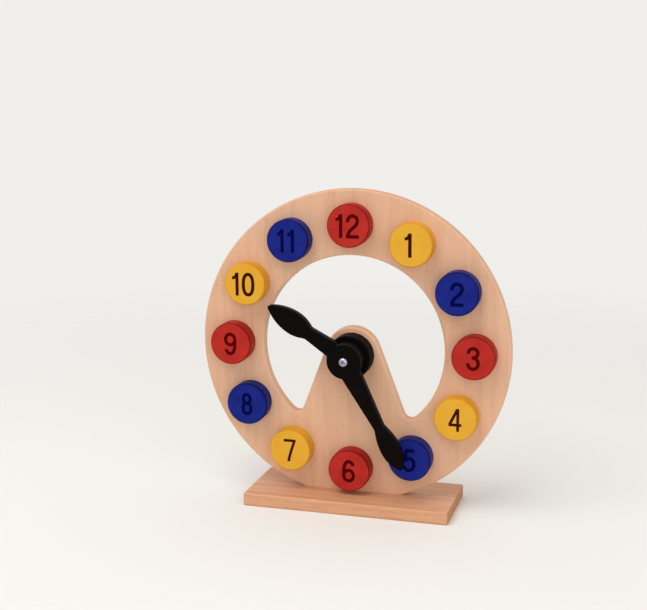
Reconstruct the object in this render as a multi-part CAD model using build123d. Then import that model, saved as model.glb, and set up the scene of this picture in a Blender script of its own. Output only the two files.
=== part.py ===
from build123d import *
from math import cos, radians, sin, sqrt, tan
import os

# A teaching clock for small children: an upright wooden ring with twelve removable
# number discs, and two hands on a pillar that stands in the ring's window.
# Millimetres and degrees. +X is to the right, +Y to the back and +Z up.
# The origin is at the centre of the underside of the base plank.

# Dial board: ring and pillar in one, cut from a plank
ring_diameter = 170.0
ring_width = 35.0
board_thickness = 6.0
board_rounding = 1.0
pivot_drop = 3.7  # the hands turn this far below the centre of the ring
pillar_margin = 3.0  # wood around the hub spacer at the top of the pillar
pillar_flare = 20.75  # lean of each side of the pillar, from upright
window_corner_radius = 4.0

# Base plank, with a mortise for the tenon under the ring
base_length = 113.0
base_depth = 46.0
base_thickness = 7.0
base_rounding = 0.9
mortise_floor = 2.0  # wood left under the mortise
mortise_fit = 0.1
tenon_overhang = 0.4  # the tenon is this much longer than the ring's chord, at each end
tenon_cover = 0.3  # tenon below the lowest point of the ring

# Number discs, each glued to a dowel that stands in a blind hole in the ring
number_count = 12
disc_diameter = 23.0
disc_height = 8.5
disc_rounding = 0.9
disc_edge_margin = 7.0  # ring outside each disc
dowel_diameter = 8.0
dowel_in_disc = 5.0
dowel_chamfer = 0.5
dowel_end_room = 0.5  # space past the end of the dowel
hole_back_cover = 2.0  # wood left behind each hole
slide_fit = 0.1
glue_fit = 0.03

# Hub spacer, which lifts the hands over the discs
hub_diameter = 24.0
hub_over_disc = 0.5
hub_rounding = 0.8

# Hands, with the washer between them
hand_thickness = 4.0
hand_rounding = 0.45
hand_boss_diameter = 18.6
hand_neck_fillet = 4.0
hand_point_angle = 40.0  # from the middle line to each side of the blade, at its point
hand_tip_radius = 1.0
running_gap = 0.1
washer_diameter = 10.0
washer_thickness = 0.8

# Each hand's outline: half its width at four stations, and where along it they are
hour_hand_angle = 301.6  # clockwise from the twelve
hour_reach = 50.7
hour_root_half = 5.2
hour_shoulder_angle = 27.0  # how steeply the blade widens past its neck
hour_neck_half = 3.4
hour_neck_from_tip = 25.9
hour_blade_half = 6.05
hour_blade_from_tip = 16.2
hour_taper_half = 4.05
hour_taper_from_tip = 6.2

minute_hand_angle = 151.2
minute_reach = 64.6
minute_root_half = 5.9
minute_shoulder_angle = 18.0
minute_neck_half = 2.65
minute_neck_from_tip = 25.3
minute_blade_half = 5.2
minute_blade_from_tip = 12.8
minute_taper_half = 4.1
minute_taper_from_tip = 6.0

# Pivot screw
screw_diameter = 3.0
screw_fit = 0.08
screw_head_diameter = 4.7
screw_head_height = 1.7
screw_head_edge = 0.7  # height of the head's upright side, under its dome
screw_point_length = 2.0
screw_point_diameter = 0.8
screw_end_room = 0.5
screw_back_cover = 1.5  # wood left behind the screw's hole
recess_span = 2.6
recess_width = 0.7
recess_depth = 1.0

# Sizes that follow
ring_radius = ring_diameter / 2
window_radius = ring_radius - ring_width
disc_circle_radius = ring_radius - disc_edge_margin - disc_diameter / 2
pillar_top_radius = hub_diameter / 2 + pillar_margin

tenon_depth = base_thickness - mortise_floor
ring_sink = tenon_depth - tenon_cover
ring_above_base = ring_radius - ring_sink
centre_height = base_thickness + ring_above_base
tenon_length = 2 * (sqrt(ring_radius**2 - ring_above_base**2) + tenon_overhang)

dowel_in_board = board_thickness - hole_back_cover - dowel_end_room

# Heights in front of the board's face, from the back piece of the hub to the front one
hub_height = disc_height + hub_over_disc
hour_hand_seat = hub_height + running_gap
washer_seat = hour_hand_seat + hand_thickness + running_gap
minute_hand_seat = washer_seat + washer_thickness + running_gap
screw_head_seat = minute_hand_seat + hand_thickness + running_gap
screw_in_board = board_thickness - screw_back_cover - screw_end_room

# The dial pieces are drawn seen from the front: X to the right, Y up, and Z out of the
# board's front face towards the viewer, with the centre of the ring at zero
dial = Plane(origin=(0, -board_thickness / 2, centre_height), x_dir=(1, 0, 0), z_dir=(0, -1, 0))
pivot = Pos(0, -pivot_drop, 0)


def standing(radius, bottom, height):
    """A cylinder along Z, from the given height up."""
    return Pos(0, 0, bottom) * Cylinder(radius, height, align=(Align.CENTER, Align.CENTER, Align.MIN))


def pillar_outline():
    """The pillar: a round top, and straight sides that leave it tangent and flare down past the window."""
    lean = radians(pillar_flare)
    top = (0, pillar_top_radius)
    shoulder_x = pillar_top_radius * cos(lean)
    shoulder_y = pillar_top_radius * sin(lean)
    foot_y = pivot_drop - window_radius
    foot_x = pillar_top_radius / cos(lean) - foot_y * tan(lean)
    outline = [
        ThreePointArc((-shoulder_x, shoulder_y), top, (shoulder_x, shoulder_y)),
        Line((shoulder_x, shoulder_y), (foot_x, foot_y)),
        Line((foot_x, foot_y), (-foot_x, foot_y)),
        Line((-foot_x, foot_y), (-shoulder_x, shoulder_y)),
    ]
    return pivot * make_face(Curve() + outline)


def disc_places():
    """Where the discs stand on the ring, clockwise with the one first."""
    steps = range(1, number_count + 1)
    turns = [radians(360 / number_count * step) for step in steps]
    return [Pos(disc_circle_radius * sin(turn), disc_circle_radius * cos(turn), 0) for turn in turns]


def dial_board():
    window = Circle(window_radius) - pillar_outline()
    window = fillet(window.vertices().sort_by(Axis.Y)[:2], window_corner_radius)
    board = extrude(Circle(ring_radius) - window, -board_thickness)
    faces = board.faces().filter_by(Axis.Z)
    board = fillet(faces.edges(), board_rounding)

    tenon_bottom = -ring_above_base - tenon_depth
    board += Pos(0, tenon_bottom, 0) * Box(
        tenon_length, tenon_depth, board_thickness, align=(Align.CENTER, Align.MIN, Align.MAX)
    )

    hole_depth = dowel_in_board + dowel_end_room
    hole = standing(dowel_diameter / 2 + slide_fit, -hole_depth, hole_depth)
    board -= [place * hole for place in disc_places()]

    screw_hole_depth = screw_in_board + screw_end_room
    board -= pivot * standing(screw_diameter / 2 + screw_fit, -screw_hole_depth, screw_hole_depth)
    return board


def base_plank():
    plank = Box(base_length, base_depth, base_thickness, align=(Align.CENTER, Align.CENTER, Align.MIN))
    plank = fillet(plank.edges(), base_rounding)
    mortise = Box(
        tenon_length + 2 * mortise_fit,
        board_thickness + 2 * mortise_fit,
        tenon_depth,
        align=(Align.CENTER, Align.CENTER, Align.MIN),
    )
    return plank - Pos(0, 0, mortise_floor) * mortise


def number_disc():
    disc = standing(disc_diameter / 2, 0, disc_height)
    disc = fillet(disc.edges().sort_by(Axis.Z)[-1], disc_rounding)
    return disc - standing(dowel_diameter / 2 + glue_fit, 0, dowel_in_disc)


def disc_dowel():
    dowel = standing(dowel_diameter / 2, -dowel_in_board, dowel_in_board + dowel_in_disc)
    return chamfer(dowel.faces().filter_by(Axis.Z).edges(), dowel_chamfer)


def bored_for_screw(piece):
    """The piece with the pivot screw's hole through all of it."""
    box = piece.bounding_box()
    return piece - standing(screw_diameter / 2 + screw_fit, box.min.Z, box.size.Z)


def hub_spacer():
    hub = standing(hub_diameter / 2, 0, hub_height)
    return bored_for_screw(fillet(hub.edges().sort_by(Axis.Z)[-1], hub_rounding))


def hand(seat, angle, reach, root_half, shoulder_angle, neck, blade, taper):
    """A hand from stations (half width, distance from the tip): a straight shaft that narrows from
    the boss to the neck, and a leaf-shaped blade that widens past it and ends in a rounded point."""
    neck_half, neck_y = neck[0], reach - neck[1]
    blade_half, blade_y = blade[0], reach - blade[1]
    taper_half, taper_y = taper[0], reach - taper[1]
    shoulder = radians(shoulder_angle)
    point = radians(hand_point_angle)
    point_y = reach + hand_tip_radius * (1 / sin(point) - 1)  # where the sides would meet unrounded
    flank = [
        Line((root_half, 0), (neck_half, neck_y)),
        Spline(
            (neck_half, neck_y), (blade_half, blade_y), tangents=((sin(shoulder), cos(shoulder)), (0, 1))
        ),
        Spline(
            (blade_half, blade_y),
            (taper_half, taper_y),
            (0, point_y),
            tangents=((0, 1), (-sin(point), cos(point))),
        ),
    ]
    flanks = Curve() + flank + [mirror(edge, Plane.YZ) for edge in flank]
    outline = make_face(flanks + Line((-root_half, 0), (root_half, 0)))
    necks = outline.vertices().sort_by(lambda corner: abs(corner.Y - neck_y))[:2]
    outline = fillet(necks, hand_neck_fillet)
    outline = fillet(outline.vertices().sort_by(Axis.Y)[-1], hand_tip_radius)
    plate = extrude(outline + Circle(hand_boss_diameter / 2), hand_thickness)
    plate = fillet(plate.faces().sort_by(Axis.Z)[-1].edges(), hand_rounding)
    return Pos(0, 0, seat) * Rot(0, 0, -angle) * bored_for_screw(plate)


def hour_hand():
    return hand(
        hour_hand_seat,
        hour_hand_angle,
        hour_reach,
        hour_root_half,
        hour_shoulder_angle,
        neck=(hour_neck_half, hour_neck_from_tip),
        blade=(hour_blade_half, hour_blade_from_tip),
        taper=(hour_taper_half, hour_taper_from_tip),
    )


def minute_hand():
    return hand(
        minute_hand_seat,
        minute_hand_angle,
        minute_reach,
        minute_root_half,
        minute_shoulder_angle,
        neck=(minute_neck_half, minute_neck_from_tip),
        blade=(minute_blade_half, minute_blade_from_tip),
        taper=(minute_taper_half, minute_taper_from_tip),
    )


def hand_washer():
    return bored_for_screw(standing(washer_diameter / 2, washer_seat, washer_thickness))


def pivot_screw():
    """A pan-head screw: a domed head with a cross recess, a straight shank and a short point."""
    head_radius = screw_head_diameter / 2
    edge_z = screw_head_seat + screw_head_edge
    top_z = screw_head_seat + screw_head_height
    dome_z = edge_z + (top_z - edge_z) * cos(radians(45))
    dome_x = head_radius * sin(radians(45))
    tip_z = -screw_in_board
    point_x = screw_point_diameter / 2
    shank_x = screw_diameter / 2
    outline = [
        Polyline(
            (0, top_z),
            (0, tip_z),
            (point_x, tip_z),
            (shank_x, tip_z + screw_point_length),
            (shank_x, screw_head_seat),
            (head_radius, screw_head_seat),
            (head_radius, edge_z),
        ),
        Spline((head_radius, edge_z), (dome_x, dome_z), (0, top_z), tangents=((0, 1), (-1, 0))),
    ]
    screw = revolve(Plane.XZ * make_face(Curve() + outline), Axis.Z)
    slot = Pos(0, 0, top_z) * Box(
        recess_span, recess_width, recess_depth, align=(Align.CENTER, Align.CENTER, Align.MAX)
    )
    return screw - slot - Rot(0, 0, 90) * slot


def main():
    pieces = {
        "dial_board": dial.location * dial_board(),
        "base_plank": base_plank(),
    }
    hub_pieces = {
        "hub_spacer": hub_spacer(),
        "hour_hand": hour_hand(),
        "hand_washer": hand_washer(),
        "minute_hand": minute_hand(),
        "pivot_screw": pivot_screw(),
    }
    for name, piece in hub_pieces.items():
        pieces[name] = dial.location * pivot * piece

    disc = number_disc()
    dowel = disc_dowel()
    for number, place in enumerate(disc_places(), start=1):
        pieces[f"number_disc_{number}"] = dial.location * place * disc
        pieces[f"disc_dowel_{number}"] = dial.location * place * dowel

    os.makedirs("parts", exist_ok=True)
    for name, piece in pieces.items():
        export_step(piece, f"parts/{name}.step")


main()
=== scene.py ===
"""The looks of an upright wooden teaching clock: a plank ring on a foot, twelve number discs that
lift out, and two hands on a pillar. Metres. +X is to the right, -Y comes out of the dial, +Z is up."""

from math import cos, radians, sin

import bpy
import numpy as np
from mathutils import Matrix, Vector


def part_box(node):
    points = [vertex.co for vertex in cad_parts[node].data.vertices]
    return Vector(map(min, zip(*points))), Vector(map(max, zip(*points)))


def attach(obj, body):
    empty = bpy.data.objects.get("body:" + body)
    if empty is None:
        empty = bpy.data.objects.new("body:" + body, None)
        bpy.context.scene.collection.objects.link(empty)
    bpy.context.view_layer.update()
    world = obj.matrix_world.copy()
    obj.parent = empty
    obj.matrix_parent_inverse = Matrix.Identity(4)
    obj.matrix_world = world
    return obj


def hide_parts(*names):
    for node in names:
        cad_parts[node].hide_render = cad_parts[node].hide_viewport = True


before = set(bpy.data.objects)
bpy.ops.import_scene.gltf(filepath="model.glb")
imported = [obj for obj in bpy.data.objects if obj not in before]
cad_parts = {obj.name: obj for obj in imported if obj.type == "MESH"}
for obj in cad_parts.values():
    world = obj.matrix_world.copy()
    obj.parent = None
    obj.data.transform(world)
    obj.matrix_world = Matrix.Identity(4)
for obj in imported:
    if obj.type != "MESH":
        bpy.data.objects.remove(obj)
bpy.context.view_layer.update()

# ---------------------------------------------------------------------------------------------
# The viewpoint: from the clock's right and a little above it, as someone leaning over a desk
# would see it, with the picture tipped by a hair.
camera_turn = radians(16.66)
camera_lift = radians(11.34)
camera_tip = radians(-0.41)
camera_place = (0.1682, -0.6184, 0.2386)
camera_lens = 68.12

camera = bpy.data.objects.new("camera", bpy.data.cameras.new("camera"))
bpy.context.scene.collection.objects.link(camera)
camera.data.sensor_width = 36
camera.data.lens = camera_lens
camera.data.clip_start = 0.05
camera.data.clip_end = 50
aim = Matrix.Rotation(camera_turn, 4, "Z")
aim = aim @ Matrix.Rotation(radians(90) - camera_lift, 4, "X")
aim = aim @ Matrix.Rotation(camera_tip, 4, "Z")
camera.matrix_world = Matrix.Translation(camera_place) @ aim
bpy.context.scene.camera = camera
bpy.context.scene.view_settings.view_transform = "Standard"


# ---------------------------------------------------------------------------------------------
# The table top and the room: a pale matt sheet that fades out into an even pale background, with
# one soft lamp from the upper left, a weak one from the right and plain daylight all round.
def srgb(red, green, blue):
    """A paint chip's colour, from 0 to 255 a channel, as the light that it sends back."""
    chip = np.array((red, green, blue)) / 255
    light = np.where(chip > 0.04045, ((chip + 0.055) / 1.055) ** 2.4, chip / 12.92)
    return (*light.tolist(), 1.0)


class Wire:
    """One output of a node. Sums, differences, products and ratios of wires add Math nodes."""

    def __init__(self, tree, socket=None):
        self.tree = tree
        self.socket = socket

    def node(self, kind, settings, inputs, output=0):
        """A new node of that kind: its settings first, and then a number, colour or wire on each
        named or numbered input. Gives the wire from one of its outputs."""
        made = self.tree.nodes.new("ShaderNode" + kind)
        for name, value in settings.items():
            setattr(made, name, value)
        for name, value in inputs.items():
            if isinstance(value, Wire):
                self.tree.links.new(value.socket, made.inputs[name])
            else:
                made.inputs[name].default_value = value
        return Wire(self.tree, made.outputs[output])

    def math(self, operation, *others):
        """A Math node whose first value is this wire."""
        return self.node("Math", {"operation": operation}, dict(enumerate((self, *others))))

    def __add__(self, other):
        return self.math("ADD", other)

    def __sub__(self, other):
        return self.math("SUBTRACT", other)

    def __mul__(self, other):
        return self.math("MULTIPLY", other)

    def __truediv__(self, other):
        return self.math("DIVIDE", other)

    def __rsub__(self, other):
        return self.node("Math", {"operation": "SUBTRACT"}, {0: other, 1: self})

    __radd__ = __add__
    __rmul__ = __mul__

    def between(self, low, high):
        """0 where this wire is below low, 1 where it is above high, and smooth in between."""
        limits = {"Value": self, "From Min": low, "From Max": high}
        return self.node("MapRange", {"interpolation_type": "SMOOTHSTEP"}, limits)

    def colour(self, first, second, blend="MIX"):
        """The first colour where this wire is 0 and the second where it is 1."""
        settings = {"data_type": "RGBA", "blend_type": blend}
        return self.node("Mix", settings, {0: self, 6: first, 7: second}, 2)


def new_finish(name):
    """An empty material, and a loose wire that its nodes can start from."""
    material = bpy.data.materials.new(name)
    material.use_nodes = True
    return material, Wire(material.node_tree)


sheet_colour = srgb(236, 234, 229)
room_colour = srgb(240, 239, 236)
daylight = 0.66
sheet_size = 4.0
sheet_fades_from = 0.18
sheet_fades_to = 0.75
sheet_roughness = 0.9
fibres_per_metre = 900

room = bpy.data.worlds.new("room")
room.use_nodes = True
bpy.context.scene.world = room
loose = Wire(room.node_tree)
ray_kinds = ("Is Camera Ray", "Is Glossy Ray", "Is Transmission Ray")
rays = [loose.node("LightPath", {}, {}, kind) for kind in ray_kinds]
seen = rays[0].math("MAXIMUM", rays[1]).math("MAXIMUM", rays[2])
day_colour = (daylight, daylight, daylight, 1)
room.node_tree.nodes["Background"].inputs["Strength"].default_value = 1
room.node_tree.links.new(
    seen.colour(day_colour, room_colour).socket, room.node_tree.nodes["Background"].inputs["Color"]
)

sheet_finish, loose = new_finish("table_sheet")
place = loose.node("TexCoord", {}, {}, "Object")
away = place.node("VectorMath", {"operation": "LENGTH"}, {0: place}, "Value")
fibres = place.node("TexNoise", {}, {"Vector": place, "Scale": fibres_per_metre, "Detail": 2})
shader = sheet_finish.node_tree.nodes["Principled BSDF"]
shader.inputs["Roughness"].default_value = sheet_roughness
tone = (fibres * 0.06).colour(sheet_colour, srgb(205, 202, 196))
sheet_finish.node_tree.links.new(tone.socket, shader.inputs["Base Color"])
clear = loose.node("BsdfTransparent", {}, {})
gone = away.between(sheet_fades_from, sheet_fades_to)
faded = loose.node("MixShader", {}, {0: gone, 1: Wire(loose.tree, shader.outputs[0]), 2: clear})
surface = sheet_finish.node_tree.nodes["Material Output"].inputs["Surface"]
sheet_finish.node_tree.links.new(faded.socket, surface)

half = sheet_size / 2
sheet_mesh = bpy.data.meshes.new("table_sheet")
corners = [(-half, -half, 0), (half, -half, 0), (half, half, 0), (-half, half, 0)]
sheet_mesh.from_pydata(corners, [], [(0, 1, 2, 3)])
sheet_mesh.materials.append(sheet_finish)
table_sheet = bpy.data.objects.new("table_sheet", sheet_mesh)
bpy.context.scene.collection.objects.link(table_sheet)


def lamp(name, place, target, width, power):
    """A square soft lamp of that width, with its face turned to the target."""
    light = bpy.data.lights.new(name, "AREA")
    light.shape = "SQUARE"
    light.size = width
    light.energy = power
    hung = bpy.data.objects.new(name, light)
    bpy.context.scene.collection.objects.link(hung)
    turn = (Vector(target) - Vector(place)).to_track_quat("-Z", "Y")
    hung.matrix_world = Matrix.Translation(place) @ turn.to_matrix().to_4x4()


clock_middle = (0, 0, 0.09)
lamp_width = 1.1
lamp("window_lamp", (-0.35, -0.6, 1.35), clock_middle, lamp_width, power=11.5)
lamp("fill_lamp", (0.9, -1.1, 0.45), clock_middle, lamp_width, power=5)


# ---------------------------------------------------------------------------------------------
# The foot: a flat plank of beech with its grain along its length, sawn, sanded and given one
# thin coat of clear satin. The ring's tenon is glued into a mortise along its middle.
beech_clouds = (30, 11)  # spots to the metre, across the grain and along it
beech_streaks = (420, 10)
beech_pores = (1800, 90)
beech_flecks = (480, 120)
fleck_share = 0.45
beech_year = 0.0035
beech_year_wander = 0.02
beech_relief = 0.00012


def own_frame(loose, centre=(0, 0, 0), turn=(0, 0, 0)):
    """Places on the piece, measured from its centre and turned back so that its grain is along Z."""
    place = loose.node("TexCoord", {}, {}, "Object")
    turned = {"Vector": place, "Location": centre, "Rotation": turn}
    return loose.node("Mapping", {"vector_type": "TEXTURE"}, turned)


def drawn_out(place, across, along, shift=0.0):
    """The place, counted in spots that are one over across metres wide and one over along long."""
    values = {0: place, 1: (across, across, along), 2: (shift, shift, shift)}
    return place.node("VectorMath", {"operation": "MULTIPLY_ADD"}, values)


def mottle(place, across, along, detail=2.0, shift=0.0):
    """Smooth noise about 0, from -0.5 to 0.5, in spots drawn out along the grain."""
    spots = {"Vector": drawn_out(place, across, along, shift), "Scale": 1, "Detail": detail}
    return place.node("TexNoise", {}, spots) - 0.5


def year_rings(place, pith, spacing, wander):
    """Dark late wood, from 0 to 1: each ring is a circle round the pith line, which lies along the
    grain. The distance from it, over the spacing, climbs through a year and drops at its end."""
    parts = [place.node("SeparateXYZ", {}, {0: place}, axis) for axis in "XY"]
    side = parts[0] - pith[0]
    depth = parts[1] - pith[1]
    distance = (side * side + depth * depth).math("SQRT")
    year = ((distance + mottle(place, 16, 3) * wander) / spacing).math("FRACT")
    return year.between(0.35, 0.93) * (1 - year.between(0.93, 1.0))


def ray_flecks(place, across, along, share):
    """The small dark spindles that beech is known by: one in each cell of a lattice drawn out
    along the grain, dropped where the cell's own random number is above the share."""
    cells = {"Vector": drawn_out(place, across, along), "Scale": 1, "Randomness": 0.9}
    nearness = place.node("TexVoronoi", {}, cells, "Distance")
    lot = place.node("TexVoronoi", {}, cells, "Color")
    lot = place.node("SeparateColor", {}, {0: lot}, 0)
    return (1 - nearness.between(0.07, 0.2)) * (1 - lot.between(share, share + 0.02))


def end_grain(loose, grain):
    """1 on sawn ends, where the surface faces along the grain, and 0 on the plank's sides."""
    facing = loose.node("TexCoord", {}, {}, "Normal")
    along = facing.node("VectorMath", {"operation": "DOT_PRODUCT"}, {0: facing, 1: grain}, "Value")
    return along.math("ABSOLUTE").between(0.45, 0.95)


def dress(material, loose, colour, roughness, height, depth, gloss):
    """Sets the finish's colour, roughness and bump, which is the height from 0 to 1 times depth
    in metres, and the gloss: the sockets that are the same all over."""
    shader = material.node_tree.nodes["Principled BSDF"]
    bump = loose.node("Bump", {}, {"Height": height, "Distance": depth, "Strength": 1.0})
    for name, wire in (("Base Color", colour), ("Roughness", roughness), ("Normal", bump)):
        material.node_tree.links.new(wire.socket, shader.inputs[name])
    for name, value in gloss.items():
        shader.inputs[name].default_value = value


def beech(name, pale, dark, ends, centre, turn, grain, pith, streak, pore, late_wood):
    """Steamed beech under clear satin, solid all the way through: slow pink and tan clouds, fine
    streaks and faint year rings along the grain, short ray flecks, and darker ends: the end grain is
    thirstier, and on the base the ends also carry painted shade."""
    material, loose = new_finish(name)
    place = own_frame(loose, centre, turn)
    clouds = mottle(place, *beech_clouds)
    lines = mottle(place, *beech_streaks, 3)
    pores = mottle(place, *beech_pores, 2)
    rings = year_rings(place, pith, beech_year, beech_year_wander)
    flecks = ray_flecks(place, *beech_flecks, fleck_share)
    ends_mask = end_grain(loose, grain)
    tone = clouds * 0.9 + lines * streak + pores * pore + rings * late_wood + 0.32
    wood = tone.between(-0.25, 1.25).colour(pale, dark)
    wood = (flecks * 0.3).colour(wood, dark, "MULTIPLY")
    wood = (ends_mask * 0.85).colour(wood, ends, "MULTIPLY")
    rough = 0.5 + lines * 0.16 + ends_mask * 0.14
    relief = pores * 0.6 + lines * 0.5 - flecks * 0.25
    satin = {"Specular IOR Level": 0.35, "Coat Weight": 0.04, "Coat Roughness": 0.35}
    dress(material, loose, wood, rough, relief, beech_relief, satin)
    return material


def wear(node, material):
    """Gives a carried-over part its finish."""
    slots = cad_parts[node].data.materials
    slots.clear()
    slots.append(material)


def middle(node):
    """The middle of a carried-over part's box, at rest."""
    low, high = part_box(node)
    return (low + high) / 2


quarter = radians(90)
base_wood = beech(
    "base_wood",
    pale=srgb(218, 164, 126),
    dark=srgb(189, 131, 94),
    # Darker than end grain alone: painted shade on the base's end faces.
    ends=srgb(212, 202, 152),
    centre=middle("base_plank"),
    turn=(0, quarter, 0),
    grain=(1, 0, 0),
    pith=(-0.045, 0.012),
    streak=1.1,
    pore=1.1,
    late_wood=0.2,
)
wear("base_plank", base_wood)

# ---------------------------------------------------------------------------------------------
# The dial board: ring and pillar sawn in one from a wide beech plank, with the grain upright so
# that the pillar is strong. Its edges are rounded over and sanded, and it has clear satin on it.
board_wood = beech(
    "board_wood",
    pale=srgb(228, 183, 149),
    dark=srgb(202, 151, 119),
    ends=srgb(240, 228, 218),
    centre=middle("dial_board"),
    turn=(0, 0, 0),
    grain=(0, 0, 1),
    pith=(0.03, 0.12),
    streak=0.35,
    pore=0.45,
    late_wood=0.15,
)
wear("dial_board", board_wood)


# ---------------------------------------------------------------------------------------------
# The dowels: short birch rod, chamfered at both ends, glued into the back of each disc and left
# bare where it slides in the ring's holes.
rod_streaks = (900, 60)
rod_clouds = (160, 60)
rod_pith = (0.009, 0.004)
rod_year = 0.0011
birch_year_wander = 0.004
rod_relief = 0.0001
rod_gloss = {"Specular IOR Level": 0.3}


def birch_rod(name, centre, shift):
    """Turned birch rod with its grain along its axis, which is the dial's Y: fine lengthwise
    streaks, slow clouds, and small year rings and a duller brown on its sawn ends."""
    material, loose = new_finish(name)
    place = own_frame(loose, centre, (quarter, 0, 0))
    lines = mottle(place, *rod_streaks, 2, shift)
    clouds = mottle(place, *rod_clouds, 1, shift)
    rings = year_rings(place, rod_pith, rod_year, birch_year_wander)
    ends_mask = end_grain(loose, (0, 1, 0))
    tone = lines + clouds * 0.6 + rings * 0.35 + 0.35
    wood = tone.between(-0.2, 1.2).colour(srgb(231, 200, 160), srgb(196, 155, 112))
    wood = (ends_mask * 0.7).colour(wood, srgb(214, 186, 160), "MULTIPLY")
    dress(material, loose, wood, 0.62 + lines * 0.2, lines, rod_relief, rod_gloss)
    return material


numbers = range(1, 13)
disc_centres = {}
for number in numbers:
    disc_centres[number] = middle(f"number_disc_{number}")
    wear(f"disc_dowel_{number}", birch_rod(f"dowel_birch_{number}", disc_centres[number], number * 3.7))


# ---------------------------------------------------------------------------------------------
# The number discs: slices of thick birch rod with a rounded front edge, dipped in red, yellow or
# blue semi-gloss enamel. End grain on the face drinks the paint unevenly and shows through it.
disc_low, disc_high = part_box("number_disc_1")
disc_radius = (disc_high.x - disc_low.x) / 2
disc_half_height = (disc_high.y - disc_low.y) / 2
# Each hue is a body colour, a deeper colour used both for the coat's own depth and for the painted shade on
# the side and round the front edge, and a thinner colour for rubbed edges.
enamel = {
    "red": (srgb(182, 47, 39), srgb(122, 14, 14), srgb(202, 78, 66)),
    "yellow": (srgb(221, 167, 53), srgb(208, 138, 33), srgb(236, 192, 90)),
    "blue": (srgb(28, 40, 129), srgb(5, 5, 56), srgb(46, 64, 160)),
}
colour_order = ("yellow", "blue", "red")
# The side, and a thin ring just inside the front edge, are painted darker as shade.
side_from = disc_radius - 0.0005
rim_shade_from = disc_radius - 0.0009
rim_shade_full = disc_radius - 0.0002
rounding_from = 0.0012  # in from the disc's outside, and from its face
rounding_full = 0.0003
# Over this height from the board, the painted shade on the side fades from its darkest.
contact_shade_height = 0.0035
disc_year = 0.0017
enamel_relief = 0.00006
enamel_gloss = {"Specular IOR Level": 0.035}


def disc_enamel(name, coat, centre, shift):
    """Dipped enamel on a birch slice, with painted shade: the whole side is darker, most of all next
    to the board, and so is a thin ring just inside the front edge. The coat is rubbed thin on that
    edge in places, and is pulled about by fine end-grain pores and faint rings under the face."""
    body, deep, thin = coat
    material, loose = new_finish(name)
    place = own_frame(loose, centre, (quarter, 0, 0))
    parts = [place.node("SeparateXYZ", {}, {0: place}, axis) for axis in "XYZ"]
    radius = (parts[0] * parts[0] + parts[1] * parts[1]).math("SQRT")
    forward = parts[2] * -1
    clouds = mottle(place, 130, 90, 2, shift)
    pores = mottle(place, 1500, 60, 2, shift)
    peel = mottle(place, 420, 420, 1, shift + 5)
    pith = (0.014 + 0.001 * sin(shift), 0.006 * cos(shift))
    rings = year_rings(place, pith, disc_year, birch_year_wander)
    side = radius.between(side_from, disc_radius)
    # Painted shade: the side darker all over, and darker still close to the board.
    foot = (1.4 - forward.between(-disc_half_height, -disc_half_height + contact_shade_height)) * side
    corner = radius.between(disc_radius - rounding_from, disc_radius - rounding_full)
    corner = corner * forward.between(disc_half_height - rounding_from, disc_half_height - rounding_full)
    rubbed = corner * (0.5 + clouds + pores * 1.6).between(0.35, 0.9)
    # Painted shade: a darker ring just inside the front edge.
    line = radius.between(rim_shade_from, rim_shade_full) * (1 - side)
    # The coat's own depth from clouds, pores and rings, plus the painted shade.
    coat_depth_and_shade = 0.2 + clouds * 0.7 + pores * 0.4 + rings * 0.06 + foot * 0.45 + line * 0.5
    paint = coat_depth_and_shade.between(-0.05, 1.05).colour(body, deep)
    paint = (rubbed * 0.25).colour(paint, thin)
    rough = 0.36 + clouds * 0.16 + pores * 0.1 + rubbed * 0.12
    relief = peel * 0.8 + pores * 0.5 - rings * 0.12
    dress(material, loose, paint, rough, relief, enamel_relief, enamel_gloss)
    return material


for number in numbers:
    hue = colour_order[(number - 1) % 3]
    finish = disc_enamel(f"{hue}_enamel_{number}", enamel[hue], disc_centres[number], number * 2.3)
    wear(f"number_disc_{number}", finish)


# ---------------------------------------------------------------------------------------------
# The numbers: plain upright numerals, screen printed in one pass of thin dark ink on each disc's
# face. The ink stands a few hundredths of a millimetre proud of the enamel.
numeral_height = 12.5
numeral_width = {digit: 7.0 for digit in "023456789"}
numeral_width["1"] = 5.6
numeral_gap = 0.1
bold_pen = 1.8
flag_pen = 1.6
fine_pen = 1.5

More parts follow.
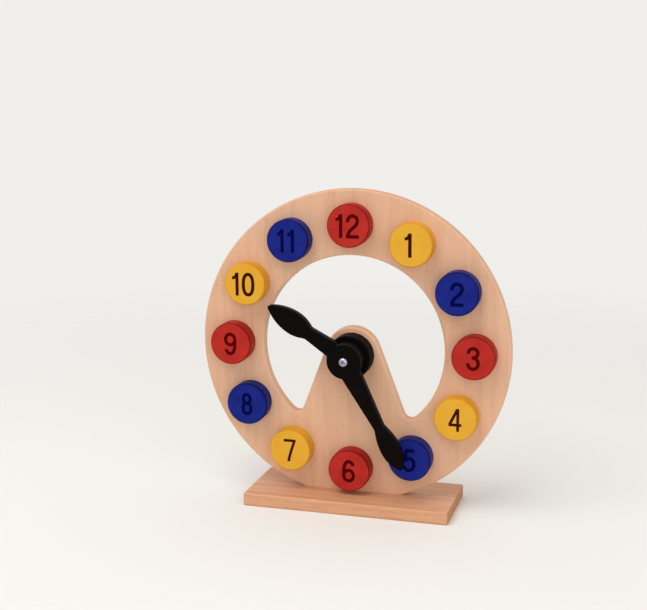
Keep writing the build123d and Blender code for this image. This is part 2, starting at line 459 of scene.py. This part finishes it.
# Each numeral is a few pen strokes, in millimetres from its lower left corner. A stroke is its
# pen width and its points: a start, and then three for each curve, two handles and an end.
six_strokes = [
    [
        bold_pen, (3.5, 6.75), (2.0, 6.75), (0.83, 5.5), (0.83, 3.8), (0.83, 2.1), (2.0, 0.83), (3.5, 0.83),
        (5.0, 0.83), (6.17, 2.1), (6.17, 3.8), (6.17, 5.5), (5.0, 6.75), (3.5, 6.75),
    ],
    [
        bold_pen, (5.95, 9.35), (5.7, 10.8), (4.8, 11.67), (3.65, 11.67), (1.8, 11.67), (0.83, 9.4),
        (0.83, 6.0), (0.83, 5.2), (0.83, 4.5), (0.83, 3.8),
    ],
]
pen_strokes = {
    "0": [
        [
            bold_pen, (3.5, 11.8), (5.3, 11.8), (6.2, 9.8), (6.2, 6.25), (6.2, 2.7), (5.3, 0.7), (3.5, 0.7),
            (1.7, 0.7), (0.8, 2.7), (0.8, 6.25), (0.8, 9.8), (1.7, 11.8), (3.5, 11.8),
        ],
    ],
    "1": [
        [bold_pen, (2.9, 0), (2.9, 4), (2.9, 8), (2.9, 12.5)],
        [flag_pen, (0.1, 9.6), (1.3, 9.65), (2.3, 10.1), (2.55, 11.9)],
    ],
    "2": [
        [
            bold_pen, (0.95, 8.4), (0.95, 10.4), (2.0, 11.67), (3.55, 11.67), (5.1, 11.67), (6.15, 10.6),
            (6.15, 9.0), (6.15, 7.4), (4.9, 6.3), (3.6, 5.2), (2.3, 4.1), (1.2, 2.9), (0.95, 0.83),
        ],
        [bold_pen, (0.1, 0.83), (2.4, 0.83), (4.7, 0.83), (7.0, 0.83)],
    ],
    "3": [
        [
            bold_pen, (1.0, 8.9), (1.0, 10.6), (2.1, 11.67), (3.4, 11.67), (4.9, 11.67), (5.9, 10.7),
            (5.9, 9.3), (5.9, 7.8), (4.8, 6.8), (2.8, 6.8),
        ],
        [
            bold_pen, (2.8, 6.8), (4.9, 6.8), (6.15, 5.6), (6.15, 3.85), (6.15, 2.0), (5.0, 0.83),
            (3.4, 0.83), (1.9, 0.83), (0.85, 2.0), (0.85, 3.8),
        ],
    ],
    "4": [
        [fine_pen, (4.95, 0), (4.95, 4), (4.95, 8), (4.95, 12.3)],
        [fine_pen, (4.7, 11.9), (3.4, 9.2), (2.0, 6.5), (0.75, 3.8)],
        [fine_pen, (0.1, 3.5), (2.4, 3.5), (4.6, 3.5), (6.9, 3.5)],
    ],
    "5": [
        [bold_pen, (6.4, 11.67), (4.9, 11.67), (3.2, 11.67), (1.5, 11.67)],
        [flag_pen, (2.1, 11.9), (1.9, 10.0), (1.6, 8.0), (1.35, 5.7)],
        [
            bold_pen, (1.2, 5.6), (1.9, 6.9), (2.8, 7.45), (3.7, 7.45), (5.2, 7.45), (6.15, 6.2), (6.15, 4.3),
            (6.15, 2.2), (5.0, 0.83), (3.4, 0.83), (1.95, 0.83), (0.95, 1.9), (0.85, 3.4),
        ],
    ],
    "6": six_strokes,
    "7": [
        [fine_pen, (0.1, 11.8), (2.3, 11.8), (4.6, 11.8), (6.95, 11.8)],
        [fine_pen, (6.3, 11.8), (5.3, 8.9), (3.6, 4.4), (2.8, 0)],
    ],
    "8": [
        [
            bold_pen, (3.5, 11.67), (4.7, 11.67), (5.5, 10.7), (5.5, 9.25), (5.5, 7.8), (4.7, 6.8),
            (3.5, 6.8), (2.3, 6.8), (1.5, 7.8), (1.5, 9.25), (1.5, 10.7), (2.3, 11.67), (3.5, 11.67),
        ],
        [
            bold_pen, (3.5, 6.8), (4.9, 6.8), (5.8, 5.6), (5.8, 3.8), (5.8, 2.0), (4.9, 0.83), (3.5, 0.83),
            (2.1, 0.83), (1.2, 2.0), (1.2, 3.8), (1.2, 5.6), (2.1, 6.8), (3.5, 6.8),
        ],
    ],
}
half_turn = np.array((7.0, 12.5))
pen_strokes["9"] = []
for pen, *points in six_strokes:
    pen_strokes["9"].append([pen, *[tuple(half_turn - point) for point in points]])
off_centre = {1: -0.4, 10: -0.8, 12: -0.4}  # millimetres to the right, where the jig let a disc slip
ink_sunk = 0.00002
ink_proud = 0.00005
ink_step = 0.000003
curve_steps = 18
ink_relief = 0.00002
ink_gloss = {"Specular IOR Level": 0.02}


def pen_line(points):
    """The pen's path and its direction at even steps along each curve: the sum of the curve's four
    points, weighted by (1-t)^3, 3t(1-t)^2, 3t^2(1-t) and t^3."""
    points = np.array(points, float)
    starts = points[0:-1:3][:, None]
    legs = [points[k::3][:, None] for k in (1, 2, 3)]
    t = np.linspace(0, 1, curve_steps + 1)[None, :, None]
    left = 1 - t
    path = left**3 * starts + 3 * t * left**2 * legs[0] + 3 * t**2 * left * legs[1] + t**3 * legs[2]
    slope = left**2 * (legs[0] - starts) + 2 * t * left * (legs[1] - legs[0]) + t**2 * (legs[2] - legs[1])
    path = np.concatenate([path[:, :-1].reshape(-1, 2), path[-1:, -1]])
    slope = np.concatenate([slope[:, :-1].reshape(-1, 2), slope[-1:, -1]])
    return path, slope / np.linalg.norm(slope, axis=1, keepdims=True)


def closed_grid(rows, columns, capped):
    """Quads over a grid of points whose columns close on themselves. The rows close too, or the
    first and last row are each filled with one face."""
    row, column = np.meshgrid(np.arange(rows - capped), np.arange(columns), indexing="ij")
    below = (row + 1) % rows
    beside = (column + 1) % columns
    quads = np.stack([row, below, below, row], -1) * columns + np.stack([column, column, beside, beside], -1)
    faces = quads.reshape(-1, 4).tolist()
    if capped:
        faces.append(list(range(columns)))
        faces.append([(rows - 1) * columns + k for k in range(columns)][::-1])
    return faces


def ink_stroke(stroke, corner, level):
    """A flat ribbon of ink: the rectangle pen width by ink thickness, carried along the pen line,
    as points in the disc's plane and their faces."""
    width = stroke[0]
    path, slope = pen_line(stroke[1:])
    closed = np.allclose(path[0], path[-1])
    if closed:
        path = path[:-1]
        slope = slope[:-1]
    side = np.stack([-slope[:, 1], slope[:, 0]], -1) * width / 2
    offsets = np.array((-1, -1, 1, 1))[None, :, None]
    flat = path[:, None] + offsets * side[:, None] + np.array(corner)
    top = ink_proud + level * ink_step
    under = -ink_sunk - level * ink_step
    heights = np.array((under, top, top, under))
    out = np.broadcast_to(heights[None, :, None], (len(path), 4, 1))
    points = np.concatenate([flat * 0.001, out], -1).reshape(-1, 3)
    return points, closed_grid(len(path), 4, not closed)


def numeral_ink(name, dense, thin):
    """Dark ink over enamel: dense in places and thin in others, where more of the colour under it
    comes through, with a duller skin than the enamel round it."""
    material, loose = new_finish(name)
    place = own_frame(loose)
    patches = mottle(place, 600, 600, 3)
    grain = mottle(place, 3000, 3000, 1)
    ink = (0.5 + patches * 0.9 + grain * 0.5).between(0, 1).colour(dense, thin)
    dress(material, loose, ink, 0.6 + patches * 0.2, grain, ink_relief, ink_gloss)
    return material


ink_finish = {
    "red": numeral_ink("ink_on_red", srgb(58, 2, 2), srgb(98, 3, 3)),
    "yellow": numeral_ink("ink_on_yellow", srgb(38, 8, 3), srgb(74, 22, 4)),
    "blue": numeral_ink("ink_on_blue", srgb(1, 3, 46), srgb(2, 8, 84)),
}

for number in numbers:
    digits = str(number)
    run = sum(numeral_width[digit] for digit in digits) + numeral_gap * (len(digits) - 1)
    left = off_centre.get(number, 0) - run / 2
    all_points = []
    all_faces = []
    count = 0
    level = 0
    for digit in digits:
        for stroke in pen_strokes[digit]:
            points, faces = ink_stroke(stroke, (left, -numeral_height / 2), level)
            all_points.append(points)
            all_faces += [[count + index for index in face] for face in faces]
            count += len(points)
            level += 1
        left += numeral_width[digit] + numeral_gap
    flat = np.concatenate(all_points)
    centre = disc_centres[number]
    face_y = centre.y - disc_half_height
    placed = np.stack([centre.x + flat[:, 0], face_y - flat[:, 2], centre.z + flat[:, 1]], -1)
    mesh = bpy.data.meshes.new(f"printed_number_{number}")
    mesh.from_pydata(placed.tolist(), [], all_faces)
    mesh.materials.append(ink_finish[colour_order[(number - 1) % 3]])
    printed = bpy.data.objects.new(f"printed_number_{number}", mesh)
    bpy.context.scene.collection.objects.link(printed)
    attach(printed, f"disc_{number}")


# ---------------------------------------------------------------------------------------------
# The hub and the hands: the hub is a slice of rod, the hands are sawn from thin plank, and all of
# them are dipped in black satin. The hub's rim carries a faint brown painted sheen.
satin_relief = 0.00008
hub_sheen = 0.01
hand_sheen = 0.025
hub_painted_sheen_radii = (0.0108, 0.0119)  # the radii between which the painted brown sheen comes in


def black_satin(name, centre, turn, sheen, painted_sheen_radii=None):
    """Black satin over wood: the grain, along the piece's own Z, shows as faint ridges and as
    streaks of sheen, with dust-grey scuffs here and there and, on a turned piece, a faint brown
    painted sheen round the rim."""
    material, loose = new_finish(name)
    place = own_frame(loose, centre, turn)
    lines = mottle(place, 700, 30, 2)
    clouds = mottle(place, 90, 50, 2)
    peel = mottle(place, 500, 500, 1, 3)
    scuffs = (clouds + lines * 1.4).between(0.28, 0.75)
    paint = (0.3 + clouds * 0.8 + lines * 0.5).colour(srgb(9, 6, 6), srgb(18, 13, 13))
    paint = (scuffs * 0.12).colour(paint, srgb(52, 43, 41))
    if painted_sheen_radii:
        parts = [place.node("SeparateXYZ", {}, {0: place}, axis) for axis in "XY"]
        # Painted sheen: a faint brown tint round the hub's rim.
        rim = (parts[0] * parts[0] + parts[1] * parts[1]).math("SQRT").between(*painted_sheen_radii)
        paint = (rim * 0.06).colour(paint, srgb(58, 40, 42))
    rough = 0.4 + clouds * 0.16 + lines * 0.12
    relief = lines * 0.7 + peel * 0.6
    dress(material, loose, paint, rough, relief, satin_relief, {"Specular IOR Level": sheen})
    return material


pivot = middle("hub_spacer")
hour_turn = radians(301.6)
minute_turn = radians(151.2)
wear("hub_spacer", black_satin("hub_black", pivot, (quarter, 0, 0), hub_sheen, hub_painted_sheen_radii))
wear("hour_hand", black_satin("hour_hand_black", pivot, (0, hour_turn, 0), hand_sheen))
wear("minute_hand", black_satin("minute_hand_black", pivot, (0, minute_turn, 0), hand_sheen))

# ---------------------------------------------------------------------------------------------
# The washer between the hands: stamped from black nylon sheet. It lets one hand turn without
# dragging the other.
nylon_relief = 0.00003
nylon_gloss = {"Specular IOR Level": 0.25}

nylon, loose = new_finish("washer_nylon")
place = own_frame(loose, pivot, (quarter, 0, 0))
speckle = mottle(place, 2500, 2500, 2)
nylon_colour = (0.5 + speckle).colour(srgb(26, 26, 27), srgb(44, 44, 46))
dress(nylon, loose, nylon_colour, 0.55 + speckle * 0.2, speckle, nylon_relief, nylon_gloss)
wear("hand_washer", nylon)

# ---------------------------------------------------------------------------------------------
# The pivot: a steel wood screw, dull nickel plated, with a pan head and a cross recess. Its shank
# is plain where the hands turn on it, and its thread bites in the hub and the board.
screw_low, screw_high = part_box("pivot_screw")
head_radius = (screw_high.x - screw_low.x) / 2
head_front = screw_low.y
screw_tip = screw_high.y
head_height = 0.0017
head_edge = 0.0007
recess_reach = 0.0013
recess_half = 0.00038
recess_depth = 0.001
shank_radius = 0.00145
thread_radius = 0.0015
core_radius = 0.00108
thread_pitch = 0.00125
thread_from = pivot.y + 0.0005
thread_runout = 0.0006
tooth_half_width = 0.24  # as a share of the pitch
point_length = 0.002
dome_shares = (0.03, 0.1, 0.25, 0.45, 0.65, 0.82, 0.93)
round_steps = 96
thread_rows = 110
turned_marks = 9000
nickel_relief = 0.000004


def cross_outline(turn):
    """How far a cross recess reaches at each angle: the larger of two rounded bars, each the curve
    on which (x/reach)^6 + (y/half width)^6 is 1."""
    along = np.abs(np.cos(turn))
    across = np.abs(np.sin(turn))
    upright = ((along / recess_reach) ** 6 + (across / recess_half) ** 6) ** (-1 / 6)
    level = ((across / recess_reach) ** 6 + (along / recess_half) ** 6) ** (-1 / 6)
    return np.maximum(upright, level)


def head_rise(radius):
    """The pan head's dome: a flat-topped bow, the head's height less its edge at the middle, that
    falls with the third power of the radius."""
    share = radius / head_radius
    return (head_height - head_edge) * (1 - share**3)


def pivot_screw_surface():
    """Rows of points from the middle of the recess over the head and down the shank to the point.
    A row is a turn round the axis: its radius, and how far back from the head's front it lies."""
    turn = np.linspace(0, 2 * np.pi, round_steps, endpoint=False)
    reach = cross_outline(turn)
    full = np.ones(round_steps)
    dome = head_height - head_edge
    rows = [(0.02 * reach, recess_depth * full), (0.78 * reach, 0.86 * recess_depth * full)]
    rows.append((0.93 * reach, dome - head_rise(reach) + 0.00016))
    rows.append((reach, dome - head_rise(reach) + 0.00004))
    for share in dome_shares:
        radius = reach * 1.03 + (head_radius * 0.985 - reach * 1.03) * share
        rows.append((radius, dome - head_rise(radius)))
    rows.append((head_radius * full * 0.997, (dome + 0.00008) * full))
    rows.append((head_radius * full, (dome + 0.0002) * full))
    rows.append((head_radius * full, (head_height - 0.00012) * full))
    rows.append((head_radius * 0.985 * full, (head_height - 0.00003) * full))
    rows.append((head_radius * 0.96 * full, head_height * full))
    rows.append((shank_radius * 1.12 * full, head_height * full))
    rows.append((shank_radius * full, (head_height + 0.0001) * full))
    length = screw_tip - head_front
    start = thread_from - head_front
    for back in np.linspace(start - thread_runout, length - 0.00012, thread_rows):
        tooth = np.abs((back / thread_pitch - turn / (2 * np.pi)) % 1 - 0.5)
        crest = np.clip(1 - tooth / tooth_half_width, 0, 1) ** 0.8
        grown = np.clip((back - start) / thread_pitch, 0, 1)
        taper = np.clip((length - back) / point_length, 0, 1) ** 0.75
        thinned = np.clip((back - start + thread_runout) / thread_runout, 0, 1)
        plain = shank_radius + (core_radius - shank_radius) * thinned
        radius = (plain + (thread_radius - plain) * crest * grown) * taper
        rows.append((radius, back * full))
    rows.append((0.00004 * full, length * full))
    radius, back = (np.stack(values) for values in zip(*rows))
    x = pivot.x + radius * np.cos(turn)
    z = pivot.z + radius * np.sin(turn)
    points = np.stack([x, head_front + back, z], -1)
    return points.reshape(-1, 3), closed_grid(len(rows), round_steps, True)


def nickel(name):
    """Nickel plate, turned and then barrelled: fine rings round the axis, soft clouds of tarnish,
    and painted shade, darker deeper in the recess."""
    material, loose = new_finish(name)
    place = own_frame(loose, (pivot.x, head_front, pivot.z), (quarter, 0, 0))
    parts = [place.node("SeparateXYZ", {}, {0: place}, axis) for axis in "XYZ"]
    radius = (parts[0] * parts[0] + parts[1] * parts[1]).math("SQRT")
    turned = (radius * turned_marks).math("SINE")
    clouds = mottle(place, 700, 700, 2)
    # Painted shade: darker deeper in the cross recess.
    recess_shade = parts[2].math("ABSOLUTE").between(0.0003, 0.0009) * (1 - radius.between(0.0012, 0.0016))
    metal = (0.4 + clouds).colour(srgb(178, 181, 192), srgb(150, 153, 164))
    metal = (recess_shade * 0.3).colour(metal, srgb(104, 102, 100))
    rough = 0.42 + clouds * 0.16 + recess_shade * 0.15
    dress(material, loose, metal, rough, turned * 0.5, nickel_relief, {"Metallic": 1.0})
    return material


points, faces = pivot_screw_surface()
mesh = bpy.data.meshes.new("cross_head_screw")
mesh.from_pydata(points.tolist(), [], faces)
mesh.shade_smooth()
mesh.materials.append(nickel("screw_nickel"))
cross_head_screw = bpy.data.objects.new("cross_head_screw", mesh)
bpy.context.scene.collection.objects.link(cross_head_screw)
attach(cross_head_screw, "stand")
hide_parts("pivot_screw")
